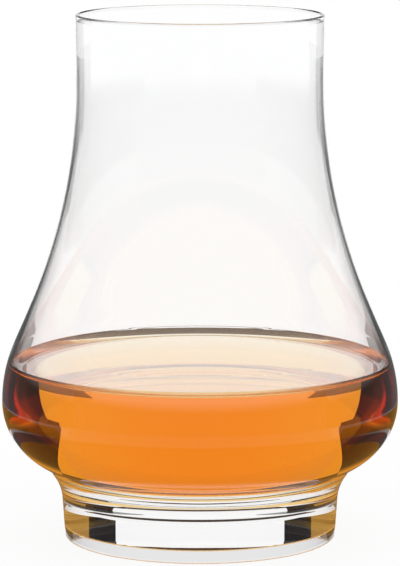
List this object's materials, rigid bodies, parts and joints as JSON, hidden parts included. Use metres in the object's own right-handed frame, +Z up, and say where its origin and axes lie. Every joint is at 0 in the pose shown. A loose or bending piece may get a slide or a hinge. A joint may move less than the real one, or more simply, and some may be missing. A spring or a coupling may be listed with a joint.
{
  "type": "whisky nosing glass",
  "caption": "Short nosing glass with a wide round belly, a tall narrowing neck and a heavy drum foot, holding a measure of whisky that turns in the bowl.",
  "frame": {"origin": "centre of the standing ring under the foot, on the table", "axes": "+Z up along the axis of the glass, towards the rim; the glass is round, so X and Y are any two level directions"},
  "size_m": [0.072, 0.072, 0.0953],
  "materials": {
    "bowl_glass": "polished",
    "foot_glass": "polished",
    "whisky": "polished"
  },
  "bodies": {
    "glass": {"bowl": "bowl_glass", "foot": "foot_glass"},
    "whisky": {"whisky": "whisky"}
  },
  "joints": [
    {"name": "whisky_swirl", "type": "hinge", "parent": "glass", "child": "whisky", "pos_m": [0, 0, 0.0252], "axis": [0, 0, 1], "continuous": true}
  ]
}
